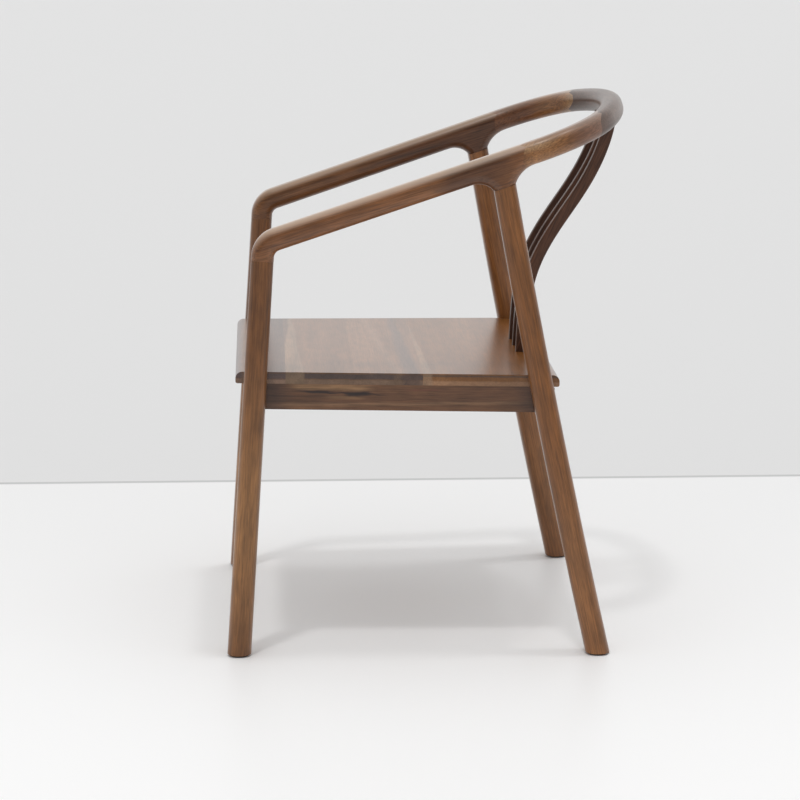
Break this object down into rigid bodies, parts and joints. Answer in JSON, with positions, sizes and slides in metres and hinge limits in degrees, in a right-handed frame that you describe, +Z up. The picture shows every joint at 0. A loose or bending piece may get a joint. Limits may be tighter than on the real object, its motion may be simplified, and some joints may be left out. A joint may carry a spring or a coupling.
{
  "type": "horseshoe back armchair",
  "caption": "Wooden armchair with a sloping horseshoe rail that forms its arms and back, S-curved back slats, splayed legs and a flat board seat.",
  "frame": {"origin": "bottom centre of the whole chair's box, on the floor", "axes": "+Z up, the sitter faces -Y, +X is the sitter's left"},
  "size_m": [0.5606, 0.6292, 0.8381],
  "materials": {
    "walnut_leg": "oiled walnut, straight grain along the leg",
    "walnut_arm": "oiled walnut, grain along the arm",
    "walnut_quarter": "oiled walnut, warmer brown, grain along the rail",
    "walnut_crest": "oiled walnut with a silvery sheen, grain across the chair",
    "walnut_slat": "dark oiled walnut, grain along the slat",
    "walnut_apron": "oiled walnut, red-brown with dark streaks",
    "walnut_seat": "oiled walnut boards with a pale sapwood streak, grain across the chair",
    "block_wood": "plain unfinished hardwood",
    "dowel_wood": "plain unfinished hardwood",
    "screw_steel": "zinc-plated steel",
    "glide_plastic": "dark grey nylon"
  },
  "bodies": {
    "root": {"apron_front": "walnut_apron", "apron_left": "walnut_apron", "apron_rear": "walnut_apron", "apron_right": "walnut_apron", "apron_screws": "screw_steel", "arm_left": "walnut_arm", "arm_right": "walnut_arm", "back_slat_centre": "walnut_slat", "back_slat_left": "walnut_slat", "back_slat_right": "walnut_slat", "corner_block_front_left": "block_wood", "corner_block_front_right": "block_wood", "corner_block_rear_left": "block_wood", "corner_block_rear_right": "block_wood", "crest_rail": "walnut_crest", "foot_glides": "glide_plastic", "front_leg_left": "walnut_leg", "front_leg_right": "walnut_leg", "glide_nails": "screw_steel", "leg_dowels": "dowel_wood", "rail_quarter_left": "walnut_quarter", "rail_quarter_right": "walnut_quarter", "rear_leg_left": "walnut_leg", "rear_leg_right": "walnut_leg", "seat_board_1": "walnut_seat", "seat_board_2": "walnut_seat", "seat_board_3": "walnut_seat", "seat_board_4": "walnut_seat", "seat_board_5": "walnut_seat", "seat_screws": "screw_steel"}
  },
  "joints": []
}
